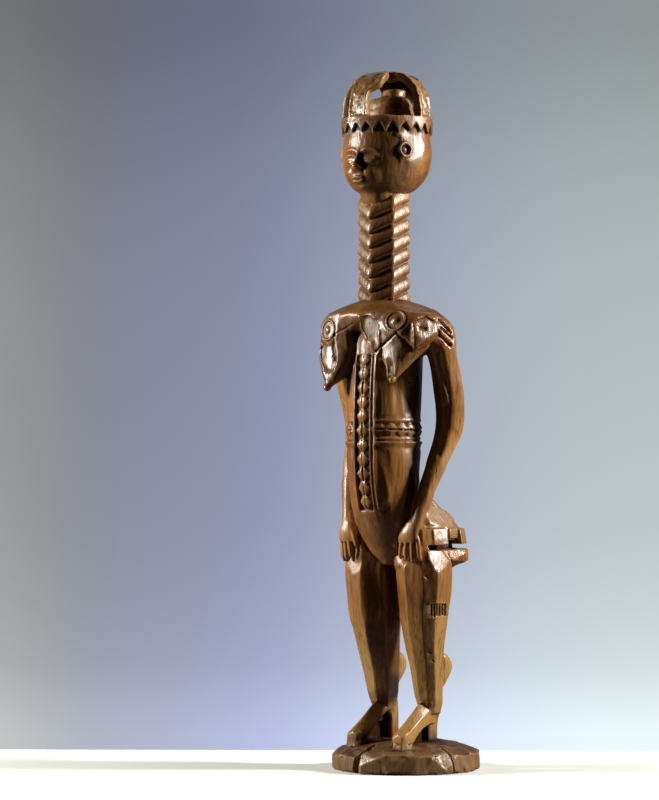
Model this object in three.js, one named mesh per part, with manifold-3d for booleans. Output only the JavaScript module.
// A tall divination figure of a standing woman, carved from one length of wood: domed base, wedge
// feet, long legs, a skirt hem at the back, a slim body with a carved panel and belt, hands on the
// thighs, a broad bust, a ringed neck, a round head and an openwork crown.
// Millimetres, +Z up, origin under the middle of the base. The figure faces -Y, its left is +X.
import * as THREE from "three";
import { mergeVertices } from "three/addons/utils/BufferGeometryUtils.js";
import Module from "manifold-3d";

const wasm = await Module();
wasm.setup();

// Driving dimensions
const BASE = { radius: 75, height: 30, sides: 26 };
const FOOT = { x: 29, width: 18, toeWidth: 12.5, heelWidth: 12, heelInward: 2, top: 66, arch: 47 };
// Front and back of each heel: the figure's left one stands further forward than its right one.
const HEEL = { left: { front: -5, back: 11.7 }, right: { front: 3.3, back: 16.9 } };
const HEM = { top: 241, bottom: 226, tabs: 11, tabDrop: 4.5, frontY: -30 };
const BODY_SIDES = 18;
const FINGER = { count: 4, x: 31.5, y: -12, reach: 30, turn: 13, radius: 2.6, rootX: 41, rootY: -41 };
const FINGER_TIPS = [214.5, 212, 210, 212];
// Where each hand lies on its thigh, in degrees outwards from the front: first finger and thumb.
const HAND = { left: { first: -8, thumb: -26, out: 0 }, right: { first: 9, thumb: -4, out: 6 } };
const PANEL = { x: 1, halfWidth: 10.5, top: 424, bottom: 262, pitch: 15.2, ridge: 2.2, angle: 0.35 };
const BELT = { top: 351, bottom: 325, lozenges: 13 };
const BREAST_DROP = 6.5;
const BOSS = { x: 41, y: -70.4, z: 453, radius: 7.5, wire: 1.5 };
const NECK = { y: -35, bottom: 447, top: 582, radius: 25.7, rings: 8, lift: 17, groove: 3.6, sides: 16 };
const HEAD = { y: -31, radius: 44.5, sides: 18 };
const EAR = { angle: 63, z: 617, radius: 5.4, wire: 2, proud: 0.2 };
const BAND = { bottom: 637, top: 653.5, radius: 46, teeth: 20, chip: 2.4 };
const DOME = { groove: 2, grooveWidth: 7, sides: 24 };

// Heights and half sizes of the upright forms. Each row is a level section:
// [height, centre x, centre y, half width, half depth].
const BELLY = [
  [208, 0, -24, 9, 9],
  [222, 0, -26, 21, 19],
  [234, 0, -28.5, 28, 25],
  [252, 0, -32, 33, 30],
  [305, 0, -36, 36.5, 36.5],
  [365, 0, -36, 37, 37],
  [424, 0, -34, 40, 34],
  [438, 0, -32, 40, 31],
];
// Belt ridges as [height, how proud of the body].
const BELT_PROFILE = [
  [BELT.bottom - 1, 0],
  [BELT.bottom + 1, 2],
  [BELT.bottom + 8, 1.6],
  [BELT.bottom + 10, 0],
  [BELT.top - 3, 0],
  [BELT.top - 1, 1.8],
  [BELT.top + 1, 0],
];
const LEG_ROWS = [
  [58, 29, 2, 11, 12],
  [74, 29, 0, 14, 15],
  [100, 29, -2.5, 16.5, 16.5],
  [126, 29, -7, 19.5, 20],
  [156, 30.5, -9.5, 24, 25],
  [188, 32, -11, 27.5, 28],
  [212, 31.5, -12, 27.5, 28],
  [234, 28, -14, 22.5, 24.5],
  [262, 20, -20, 15, 17],
];
const CALF_ROWS = [
  [82, 29, 2, 12, 13],
  [91, 29, 11, 11.5, 13],
  [101, 29, 17, 12, 13],
  [109, 29, 16, 11.5, 12.5],
  [116, 29, 10, 10, 11],
  [120, 29, -1, 8, 10],
];
const SKIRT_ROWS = [
  [288, 0, -24, 30, 16],
  [271, 0, -13, 37, 27],
  [257, 0, -3, 43.5, 38],
  [HEM.top, 0, 4, 51, 48],
  [HEM.bottom + HEM.tabDrop, 0, 5, 53, 49.5],
];
const ARM_ROWS = [
  [244, 41, -41, 8.5, 6.5],
  [260, 45, -34.5, 8, 8],
  [282, 49, -28, 9.5, 9.5],
  [306, 53, -19, 11.5, 11.5],
  [338, 56.5, -5, 13.5, 13.5],
  [364, 58, -5, 14.5, 14.5],
  [388, 60, -12, 15, 15],
  [412, 62, -20, 15.5, 15.5],
  [436, 60, -25.5, 18, 18],
  [452, 57, -27, 14, 15],
];
const PALM_ROWS = [
  [226, 34.5, -43, 11.5, 4],
  [236, 36.5, -42.5, 11.5, 5.5],
  [250, 42, -39, 8.5, 7],
];
const YOKE_ROWS = [
  [417, 0, -30, 55, 24],
  [424, 0, -30, 67, 28],
  [434, 0, -31.5, 72, 33],
  [446, 0, -35, 71, 37],
  [456, 0, -36.5, 64, 38.5],
  [462, 0, -36, 51, 34],
  [469, 0, -35, 29, 28],
];
const BREAST_ROWS = [
  [393, 42, -73.5, 4, 4],
  [400, 41, -68, 9.5, 9],
  [410, 39.5, -61.5, 17, 14.5],
  [423, 38, -53.5, 27, 21],
  [437, 36, -49, 35, 25.5],
  [449, 35, -47, 37, 27],
  [458, 34, -44, 30, 23],
];
const HEAD_ROWS = [
  [577, 0, -35, 20, 22],
  [583, 0, -35, 31, 33],
  [594, 0, -33, 39.5, 41],
  [607, 0, -31.5, 43.5, 44.5],
  [620, 0, -31, 44.5, 45],
  [632, 0, -31, 43.5, 44],
  [646, 0, -31, 41, 41],
];
// Round profiles of the crown as [radius, height]: its outside, the space inside it and the bun.
const DOME_PROFILE = [
  [0, 646],
  [44.5, 646],
  [44, 668],
  [41, 681],
  [35.5, 690.5],
  [25, 697],
  [12, 700],
  [0, 700.5],
];
const HOLLOW_PROFILE = [
  [0, 655],
  [37.5, 655],
  [34.5, 681],
  [29, 684.5],
  [18.5, 691],
  [5.5, 694],
  [0, 694],
];
const CAP_PROFILE = [
  [0, 690],
  [14, 690],
  [13, 699.5],
  [0, 700.5],
];
const BUN_PROFILE = [
  [0, 645],
  [26, 645],
  [26, 661],
  [21, 665],
  [21.5, 674],
  [13, 678],
  [13, 683],
  [9, 685],
  [0, 685],
];
const RIBS = [
  { angle: 0, half: 14 },
  { angle: 100, half: 14 },
  { angle: 188, half: 34 },
  { angle: 285, half: 14 },
];

// Solids and placing
const radians = THREE.MathUtils.degToRad;

function solid(geometry) {
  const bare = geometry.clone();
  bare.deleteAttribute("normal");
  bare.deleteAttribute("uv");
  const merged = mergeVertices(bare, 1e-3);
  return new wasm.Manifold(
    new wasm.Mesh({
      numProp: 3,
      vertProperties: merged.attributes.position.array,
      triVerts: new Uint32Array(merged.index.array),
    }),
  );
}

const unite = (pieces) => pieces.reduce((whole, piece) => whole.add(piece));

// A smooth value through the rows, by Catmull-Rom on each column.
function rowAt(rows, t) {
  const last = rows.length - 1;
  const i = Math.min(Math.floor(t), last - 1);
  const u = t - i;
  const [a, b, c, d] = [i - 1, i, i + 1, i + 2].map((k) => rows[THREE.MathUtils.clamp(k, 0, last)]);
  return b.map((_, k) => {
    const rise = (c[k] - a[k]) / 2;
    const next = (d[k] - b[k]) / 2;
    const [u2, u3] = [u * u, u * u * u];
    return (
      (2 * u3 - 3 * u2 + 1) * b[k] + (u3 - 2 * u2 + u) * rise + (3 * u2 - 2 * u3) * c[k] + (u3 - u2) * next
    );
  });
}

// Moves every vertex of an upright unit cylinder by place(cos, sin, share of the radius, row).
function shaped(sides, rows, place) {
  const tube = new THREE.CylinderGeometry(1, 1, 1, sides, rows);
  const points = tube.attributes.position;
  for (let i = 0; i < points.count; i++) {
    const radius = Math.hypot(points.getX(i), points.getZ(i));
    const angle = Math.atan2(points.getX(i), points.getZ(i));
    const row = Math.round((points.getY(i) + 0.5) * rows);
    const [x, y, z] = place(Math.sin(angle), -Math.cos(angle), radius, row);
    points.setXYZ(i, x, y, z);
  }
  return tube;
}

// An upright form through level sections; power rounds its section from ellipse (1) to box (0.7).
function tower(rows, { side = 1, sides = 16, between = 1, power = 1 } = {}) {
  const up = rows[0][0] < rows[rows.length - 1][0] ? rows : [...rows].reverse();
  const steps = (up.length - 1) * between;
  const bent = (c) => Math.sign(c) * Math.abs(c) ** power;
  return solid(
    shaped(sides, steps, (sx, sy, radius, row) => {
      const [z, x, y, w, d] = rowAt(up, row / between);
      return [side * x + bent(sx) * w * radius, y + bent(sy) * d * radius, z];
    }),
  );
}

function ball(x, y, z, rx, ry, rz, across = 12, up = 8) {
  const round = new THREE.SphereGeometry(1, across, up).rotateX(Math.PI / 2);
  return solid(round.scale(rx, ry, rz).translate(x, y, z));
}

function gem(x, y, z, rx, ry, rz, turn = 0) {
  const stone = new THREE.OctahedronGeometry(1).scale(rx, ry, rz);
  return solid(stone.rotateZ(turn).translate(x, y, z));
}

function lathe(profile, sides, y = HEAD.y) {
  const points = profile.map(([r, z]) => new THREE.Vector2(r, z));
  const round = new THREE.LatheGeometry(points, sides).rotateX(Math.PI / 2);
  return solid(round.translate(0, y, 0));
}

// A flat outline given in the side plane (y, z), pushed across x.
function slab(outline, width, x, taper = () => 1, lean = () => 0) {
  const shape = new THREE.Shape(outline.map(([y, z]) => new THREE.Vector2(y, z)));
  const plate = new THREE.ExtrudeGeometry(shape, { depth: width, bevelEnabled: false });
  plate.translate(0, 0, -width / 2);
  const points = plate.attributes.position;
  for (let i = 0; i < points.count; i++) {
    const [y, z, across] = [points.getX(i), points.getY(i), points.getZ(i)];
    points.setXYZ(i, x + lean(y) + across * taper(y, z), y, z);
  }
  return solid(plate);
}

// A wedge standing on the axis at angle, 0 at the front and 90 at the figure's left.
function sector(from, to, radius, bottom, top, y = HEAD.y) {
  const steps = Math.max(2, Math.ceil((to - from) / 30));
  const shape = new THREE.Shape();
  shape.moveTo(0, 0);
  for (let i = 0; i <= steps; i++) {
    const angle = radians(from + ((to - from) * i) / steps);
    shape.lineTo(radius * Math.sin(angle), -radius * Math.cos(angle));
  }
  const wedge = new THREE.ExtrudeGeometry(shape, { depth: top - bottom, bevelEnabled: false });
  return solid(wedge.translate(0, y, bottom));
}

// The level section of the body at a height, and a point on its surface.
function bodySection(z) {
  let [low, high] = [0, BELLY.length - 1];
  for (let i = 0; i < 20; i++) {
    const middle = (low + high) / 2;
    if (rowAt(BELLY, middle)[0] < z) low = middle;
    else high = middle;
  }
  return rowAt(BELLY, high);
}

function bodyAt(z, angle, proud = 0) {
  const [, x, y, w, d] = bodySection(z);
  return [x + (w + proud) * Math.sin(angle), y - (d + proud) * Math.cos(angle)];
}

// Base: a domed disc, a little out of round, with two drying cracks.
function base() {
  const profile = [
    [0, 0.985],
    [3, 1],
    [13, 0.995],
    [18, 0.94],
    [23.5, 0.82],
    [27.5, 0.64],
    [29.5, 0.4],
  ];
  const disc = solid(
    shaped(BASE.sides, profile.length - 1, (sx, sy, radius, row) => {
      const angle = Math.atan2(sx, -sy);
      const uneven = 1 + 0.014 * Math.sin(2 * angle + 0.6) + 0.01 * Math.sin(5 * angle + 1.1);
      const reach = BASE.radius * profile[row][1] * uneven * radius;
      const crown = row === profile.length - 1 && radius < 0.5 ? BASE.height : profile[row][0];
      return [reach * sx, reach * sy, crown];
    }),
  );
  const crack = (angle, width, depth) => {
    const notch = new THREE.Shape();
    notch.moveTo(0, -(BASE.radius - depth));
    notch.lineTo(width / 2, -BASE.radius - 5);
    notch.lineTo(-width / 2, -BASE.radius - 5);
    const wedge = new THREE.ExtrudeGeometry(notch, { depth: BASE.height + 10, bevelEnabled: false });
    return solid(wedge.translate(0, 0, -5).rotateZ(radians(angle)));
  };
  return disc.subtract(crack(-2, 9, 34)).subtract(crack(77, 3, 26));
}

// Leg: thigh, shin, the ball of the calf and a wedge foot on toe and heel. The hollow under each
// foot is open towards its left side and closed by a thin web on its right side.
function leg(side) {
  const stouter = ([z, x, y, w, d]) => {
    const gain = Math.max(0, Math.sin((Math.PI * (z - 45)) / (215 - 45)));
    return [z, x, y - 0.5 * gain, w + 3 * gain, d + 2.5 * gain];
  };
  const { front, back } = side < 0 ? HEEL.right : HEEL.left;
  const arch = [
    [front, 24],
    [front, FOOT.arch],
    [front - 13, FOOT.arch - 2],
    [-29, 37],
    [-40, 24],
  ];
  const footOutline = [
    [-49, 24],
    [-52, 36],
    [-47, 41],
    [-16, FOOT.top + 2],
    [6, FOOT.top + 8],
    [back, FOOT.top],
    [back, 24],
    ...arch,
  ];
  const web = [[front + 2, 22], [front + 2, FOOT.arch + 3], [front - 13, FOOT.arch + 2], [-34, 39], [-44, 22]];
  const { mapLinear } = THREE.MathUtils;
  const heel = FOOT.heelWidth / FOOT.width;
  const toe = FOOT.toeWidth / FOOT.width;
  const narrowing = (y) => (y < -40 ? mapLinear(y, -52, -40, toe, 0.9) : mapLinear(y, -40, back, 1, heel));
  const inward = (y) => -side * mapLinear(y, -52, back, 0, FOOT.heelInward);
  return unite([
    tower(side < 0 ? LEG_ROWS.map(stouter) : LEG_ROWS, { side, sides: 12 }),
    tower(CALF_ROWS, { side, sides: 10 }),
    slab(footOutline, FOOT.width, side * FOOT.x, narrowing, inward),
    slab(web, FOOT.width * 0.3, side * FOOT.x - FOOT.width * 0.28, narrowing, inward),
  ]);
}

// Skirt at the back, its hem cut in tabs, over the buttocks.
function skirt() {
  const rear = (piece) => {
    const front = new THREE.BoxGeometry(200, 200, 200).translate(0, HEM.frontY - 100, 250);
    return piece.subtract(solid(front));
  };
  const flare = tower(SKIRT_ROWS, { sides: 18, power: 0.85 });
  const tabs = [];
  for (let i = 0; i < HEM.tabs; i++) {
    const angle = radians(63 + (i * 234) / (HEM.tabs - 1));
    const low = i % 3 === 1 ? HEM.bottom + HEM.tabDrop : HEM.bottom;
    const tab = new THREE.BoxGeometry(i % 3 === 1 ? 17 : 14, 12, HEM.top - low);
    const [reachX, reachY] = [51.5, 48];
    tab.translate(0, -1, (HEM.top + low) / 2).rotateZ(angle);
    tab.translate(reachX * Math.sin(angle), 4 - reachY * Math.cos(angle), 0);
    tabs.push(solid(tab));
  }
  const buttocks = [-1, 1].map((side) => ball(side * 25, 17.5, 223, 29, 35, 21, 12, 6));
  return unite([rear(unite([flare, ...tabs])), ...buttocks]);
}

// Body with the panel of lozenges down its front and the belt to each side of it.
function body() {
  const rows = [...BELLY.map(([z]) => [z, 0]), ...BELT_PROFILE].sort((a, b) => a[0] - b[0]);
  const pieces = [
    solid(
      shaped(BODY_SIDES, rows.length - 1, (sx, sy, radius, row) => {
        const angle = Math.atan2(sx, -sy);
        const [z, proud] = rows[row];
        const [x, y] = bodyAt(z, angle, Math.abs(angle) < PANEL.angle ? 0 : proud);
        const [, , middle] = bodySection(z);
        return [x * radius, middle + (y - middle) * radius, z];
      }),
    ),
  ];
  const count = Math.floor((PANEL.top - PANEL.bottom) / PANEL.pitch);
  for (let i = 0; i < count; i++) {
    const z = PANEL.bottom + PANEL.pitch * (i + 0.5);
    const [x, y] = bodyAt(z, radians(2));
    pieces.push(gem(x, y + 0.4, z, 4.2, 2.4, PANEL.pitch / 2));
  }
  for (const edge of [-1, 1]) pieces.push(border(PANEL.x + edge * PANEL.halfWidth));
  for (let i = 0; i < BELT.lozenges; i++) {
    const angle = radians(28 + (i * 304) / (BELT.lozenges - 1));
    const z = (BELT.top + BELT.bottom) / 2 + 4;
    const [x, y] = bodyAt(z, angle);
    pieces.push(gem(x, y, z, 7.2, 2, 5, angle));
  }
  return unite(pieces);
}

// A raised border of the panel, four-sided, following the front of the body.
function border(x) {
  const angle = Math.asin(x / 37);
  const rise = PANEL.top - PANEL.bottom;
  const steps = 4;
  return solid(
    shaped(4, steps, (sx, sy, radius, row) => {
      const z = PANEL.bottom + (rise * row) / steps;
      const [, y] = bodyAt(z, angle);
      return [x + PANEL.ridge * sx * radius, y + PANEL.ridge * sy * radius, z];
    }),
  );
}

// Arm, from the shoulder to the fingers lying on the thigh.
function arm(side) {
  const { first, thumb, out } = side < 0 ? HAND.right : HAND.left;
  const palm = PALM_ROWS.map(([z, x, y, w, d]) => [z, x + (out * (250 - z)) / 24, y, w, d]);
  const pieces = [tower(ARM_ROWS, { side, sides: 10 }), tower(palm, { side, sides: 8 })];
  const onThigh = (angle) => [
    FINGER.x + FINGER.reach * Math.sin(radians(angle)),
    FINGER.y - FINGER.reach * Math.cos(radians(angle)),
  ];
  const finger = (x, y, tip, top, width) =>
    tower(
      [
        [tip, x, y + 1, width * 0.6, width * 0.7],
        [tip + 5, x, y, width, width],
        [top, (x + FINGER.rootX + out) / 2, (y + FINGER.rootY) / 2, width, width * 1.1],
      ],
      { side, sides: 5 },
    );
  for (let i = 0; i < FINGER.count; i++) {
    pieces.push(finger(...onThigh(first + i * FINGER.turn), FINGER_TIPS[i], 234, FINGER.radius));
  }
  pieces.push(finger(...onThigh(thumb), 224, 241, FINGER.radius));
  return unite(pieces);
}

// Bust: a broad yoke with two pointed breasts, a ring and boss over each, and cuts on the shoulder.
function bust() {
  const pieces = [tower(YOKE_ROWS, { sides: 20, power: 0.85 })];
  for (const side of [-1, 1]) {
    const drop = side < 0 ? BREAST_DROP : 0;
    const rows = BREAST_ROWS.map(([z, ...rest]) => [z - drop * ((458 - z) / 65), ...rest]);
    pieces.push(tower(rows, { side, sides: 10 }));
    pieces.push(ball(side * 42, -76, 391 - drop, 4.4, 4.4, 4.4, 7, 4));
    const ring = new THREE.TorusGeometry(BOSS.radius, BOSS.wire, 3, 12).rotateX(radians(72));
    pieces.push(solid(ring.translate(side * BOSS.x, BOSS.y, BOSS.z - drop)));
    pieces.push(gem(side * BOSS.x, BOSS.y, BOSS.z - drop, 3.4, 3.4, 3.4));
  }
  const cuts = [];
  for (const side of [-1, 1])
    for (let i = 0; i < 3; i++) {
      const cut = new THREE.BoxGeometry(13, 6, 1.8).rotateY(side * radians(38)).rotateZ(side * radians(48));
      cuts.push(solid(cut.translate(side * (70.5 + i), -42.5 + i, 446 - 6 * i)));
    }
  return unite(pieces).subtract(unite(cuts));
}

// Neck: rings that meet in a V at the front, each with a lower lip over a groove.
function neck() {
  const pitch = (NECK.top - NECK.bottom - NECK.lift) / NECK.rings;
  const lip = [
    [0, -NECK.groove],
    [0.2, 0.6],
    [0.8, 0.2],
  ];
  const rows = NECK.rings * lip.length;
  return solid(
    shaped(NECK.sides, rows, (sx, sy, radius, row) => {
      const [share, proud] = lip[row % lip.length];
      const angle = Math.min(Math.abs(Math.atan2(sx, -sy)), Math.PI / 2);
      const rise = NECK.lift * Math.sin(angle) * radius;
      const z = NECK.bottom + (Math.floor(row / lip.length) + share) * pitch + rise;
      const widen = 1 + 0.06 * (1 - row / rows);
      const reach = (NECK.radius + proud) * widen * radius;
      return [reach * sx, NECK.y + reach * sy, z];
    }),
  );
}

// Head with a small low face of plain proportions and ringed ears.
function head() {
  const face = [
    ball(0, -56, 597, 25, 24, 19, 12, 8),
    slab(
      [
        [-68, 626],
        [-78, 614],
        [-86.5, 600],
        [-85, 597],
        [-70, 597],
      ],
      9,
      0,
      (y, z) => THREE.MathUtils.mapLinear(z, 597, 626, 1.15, 0.45),
    ),
    ball(0, -79, 590, 8, 4, 2.3, 8, 4),
    ball(0, -78, 586.5, 7, 4, 2.1, 8, 4),
  ];
  for (const side of [-1, 1]) {
    face.push(ball(side * 13, -71, 609, 7, 4.5, 3.2, 8, 4));
    const angle = radians(side * EAR.angle);
    const rim = new THREE.TorusGeometry(EAR.radius, EAR.wire, 4, 10).rotateX(Math.PI / 2).rotateZ(angle);
    const reach = HEAD.radius + EAR.proud;
    rim.translate(reach * Math.sin(angle), HEAD.y - reach * Math.cos(angle), EAR.z);
    face.push(solid(rim));
  }
  return unite([tower(HEAD_ROWS, { sides: HEAD.sides }), ...face]);
}

// Crown: a toothed band, four grooved ribs that meet overhead, and a tiered bun between them.
function crown() {
  const shell = lathe(DOME_PROFILE, DOME.sides).subtract(lathe(HOLLOW_PROFILE, DOME.sides));
  const windows = RIBS.map((rib, i) => {
    const next = RIBS[(i + 1) % RIBS.length];
    const from = rib.angle + rib.half;
    const to = (next.angle < rib.angle ? next.angle + 360 : next.angle) - next.half;
    return sector(from, to, 80, BAND.top, 720);
  });
  const moved = (out, up) => DOME_PROFILE.map(([r, z]) => [r > 0 ? r + out : 0, z + up]);
  const skin = lathe(moved(5, 3), 10).subtract(lathe(moved(-DOME.groove, -DOME.groove), DOME.sides));
  const grooves = RIBS.map(({ angle }) => {
    const slot = new THREE.BoxGeometry(DOME.grooveWidth, 60, 60).translate(0, -45, 0);
    return skin.intersect(solid(slot.rotateZ(radians(angle)).translate(0, HEAD.y, 680)));
  });
  const ribs = shell.subtract(unite(windows)).subtract(unite(grooves));
  return unite([band(), ribs, lathe(CAP_PROFILE, 14), lathe(BUN_PROFILE, 16)]);
}

function band() {
  const rows = [
    [BAND.bottom, -3],
    [BAND.bottom, 0],
    [BAND.bottom + 8, 0],
    [BAND.top, 0],
  ];
  return solid(
    shaped(2 * BAND.teeth, rows.length - 1, (sx, sy, radius, row) => {
      const tooth = Math.round((Math.atan2(sx, -sy) / Math.PI) * BAND.teeth);
      const odd = tooth % 2 !== 0;
      const [z, proud] = rows[row];
      const chip = odd && row === 2 ? BAND.chip : 0;
      const lift = odd && row < 2 ? 3.5 : 0;
      const reach = (BAND.radius + proud - chip) * radius;
      return [reach * sx, HEAD.y + reach * sy, z + lift * radius];
    }),
  );
}

const figure = unite([
  base(),
  leg(-1),
  leg(1),
  skirt(),
  body(),
  arm(-1),
  arm(1),
  bust(),
  neck(),
  head(),
  crown(),
]);

const { vertProperties, triVerts, numProp } = figure.getMesh();
const geometry = new THREE.BufferGeometry();
const positions = [];
for (let i = 0; i < vertProperties.length; i += numProp) positions.push(...vertProperties.slice(i, i + 3));
geometry.setAttribute("position", new THREE.Float32BufferAttribute(positions, 3));
geometry.setIndex([...triVerts]);
geometry.computeVertexNormals();

const wood = new THREE.MeshStandardMaterial({ color: 0x5a3218, roughness: 0.42, metalness: 0 });
const carving = new THREE.Mesh(geometry, wood);
carving.name = "carved_figure";

const group = new THREE.Group();
group.add(carving);

export default group;
